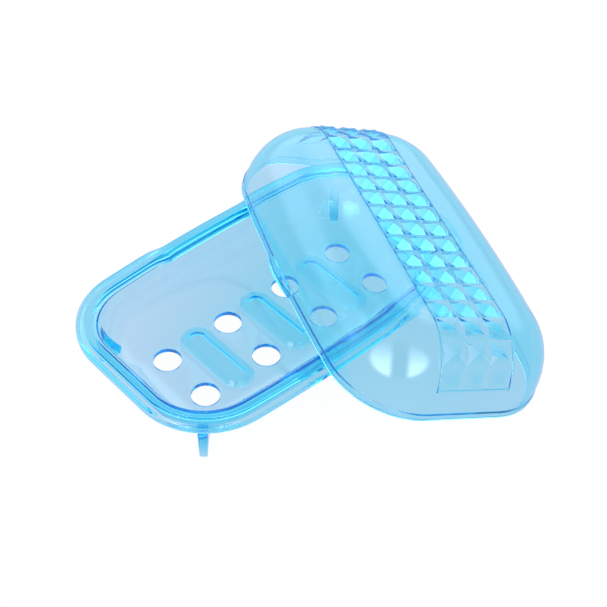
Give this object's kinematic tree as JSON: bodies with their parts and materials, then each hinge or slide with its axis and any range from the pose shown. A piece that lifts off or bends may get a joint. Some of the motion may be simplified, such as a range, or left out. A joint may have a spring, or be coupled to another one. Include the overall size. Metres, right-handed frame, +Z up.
{
  "type": "soap box",
  "caption": "Clear tinted soap box: a footed tray with drain holes and soap ribs, and a domed lid with a studded band that leans open on its rim.",
  "frame": {"origin": "middle of the footprint of the tray and the leaned lid together, on the surface they stand on", "axes": "+Z up, +X along the tray's long side towards the end that the lid leans over, +Y across the tray"},
  "size_m": [0.1297, 0.1134, 0.0379],
  "materials": {
    "tray_plastic": "clear blue-tinted moulded plastic, polished",
    "lid_plastic": "clear blue-tinted moulded plastic, polished"
  },
  "bodies": {
    "root": {"tray": "tray_plastic", "lid": "lid_plastic"}
  },
  "joints": []
}
